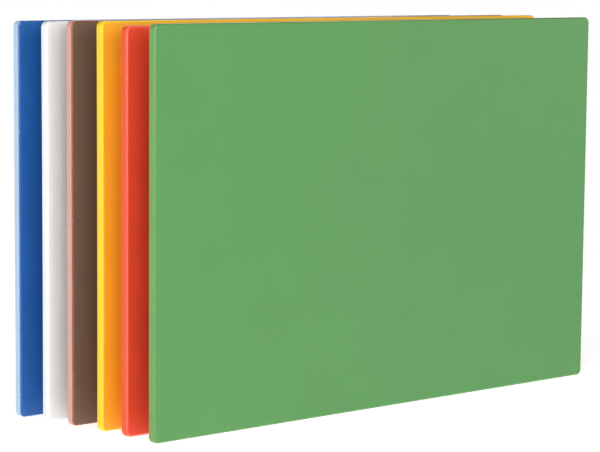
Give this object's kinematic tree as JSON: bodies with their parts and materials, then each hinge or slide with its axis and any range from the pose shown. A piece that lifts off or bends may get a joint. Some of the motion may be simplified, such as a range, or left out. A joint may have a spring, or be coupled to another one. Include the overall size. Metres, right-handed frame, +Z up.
{
  "type": "cutting board set",
  "caption": "Row of loose colour-coded plastic cutting boards that stand on their long edges, one behind the other, and lift out one at a time.",
  "frame": {"origin": "on the floor, under the middle of the row's box", "axes": "+X along the boards, +Y back through the row from the green board to the blue one, +Z up"},
  "size_m": [0.6306, 0.194, 0.4015],
  "materials": {
    "green_plastic": "satin, fine moulded grain",
    "red_plastic": "satin, fine moulded grain",
    "yellow_plastic": "satin, fine moulded grain",
    "brown_plastic": "satin, fine moulded grain",
    "white_plastic": "satin, fine moulded grain",
    "blue_plastic": "satin, fine moulded grain"
  },
  "bodies": {
    "green": {"green_board": "green_plastic"},
    "red": {"red_board": "red_plastic"},
    "yellow": {"yellow_board": "yellow_plastic"},
    "brown": {"brown_board": "brown_plastic"},
    "white": {"white_board": "white_plastic"},
    "blue": {"blue_board": "blue_plastic"}
  },
  "joints": [
    {"name": "green_lift", "type": "slide", "parent": "yellow", "child": "green", "axis": [0, 0, 1], "range_m": [0, 0.42]},
    {"name": "red_lift", "type": "slide", "parent": "yellow", "child": "red", "axis": [0, 0, 1], "range_m": [0, 0.42]},
    {"name": "brown_lift", "type": "slide", "parent": "yellow", "child": "brown", "axis": [0, 0, 1], "range_m": [0, 0.42]},
    {"name": "white_lift", "type": "slide", "parent": "yellow", "child": "white", "axis": [0, 0, 1], "range_m": [0, 0.42]},
    {"name": "blue_lift", "type": "slide", "parent": "yellow", "child": "blue", "axis": [0, 0, 1], "range_m": [0, 0.42]}
  ]
}
